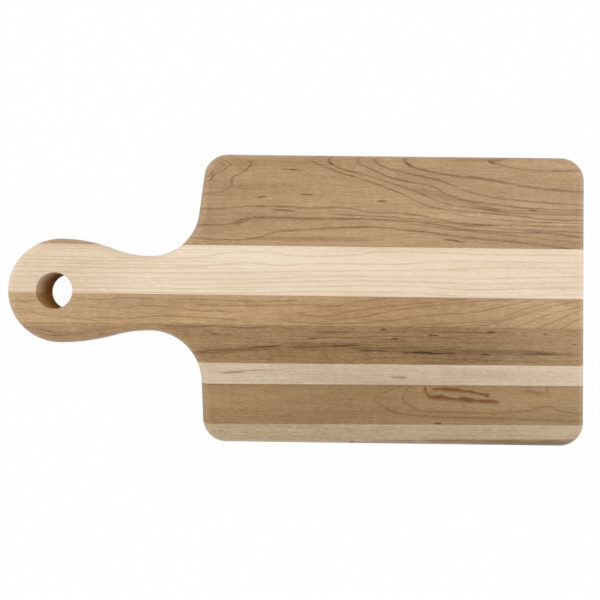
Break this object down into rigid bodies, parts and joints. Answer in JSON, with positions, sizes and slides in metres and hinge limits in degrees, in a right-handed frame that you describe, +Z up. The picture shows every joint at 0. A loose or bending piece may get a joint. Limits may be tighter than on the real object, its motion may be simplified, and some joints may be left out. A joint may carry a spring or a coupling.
{
  "type": "paddle serving board",
  "caption": "Paddle-shaped wooden serving board: edge-glued maple staves of mixed tones, rounded edges, and a waisted handle whose round knob has a hanging hole.",
  "frame": {"origin": "middle of the board's overall outline, on its underside", "axes": "+X along the length from the knob towards the square end, +Y across the width towards the wide brown stave, +Z up through the thickness out of the serving face"},
  "size_m": [0.3556, 0.1778, 0.0191],
  "materials": {
    "far_maple": "oiled satin",
    "pale_maple": "oiled satin",
    "tan_maple": "oiled satin",
    "streaked_maple": "oiled satin",
    "narrow_maple": "oiled satin",
    "figured_maple": "oiled satin",
    "edge_maple": "oiled satin"
  },
  "bodies": {
    "root": {"far_stave": "far_maple", "knob_sliver": "far_maple", "pale_handle_stave": "pale_maple", "tan_handle_stave": "tan_maple", "streaked_stave": "streaked_maple", "narrow_pale_stave": "narrow_maple", "figured_stave": "figured_maple", "near_edge_stave": "edge_maple"}
  },
  "joints": []
}
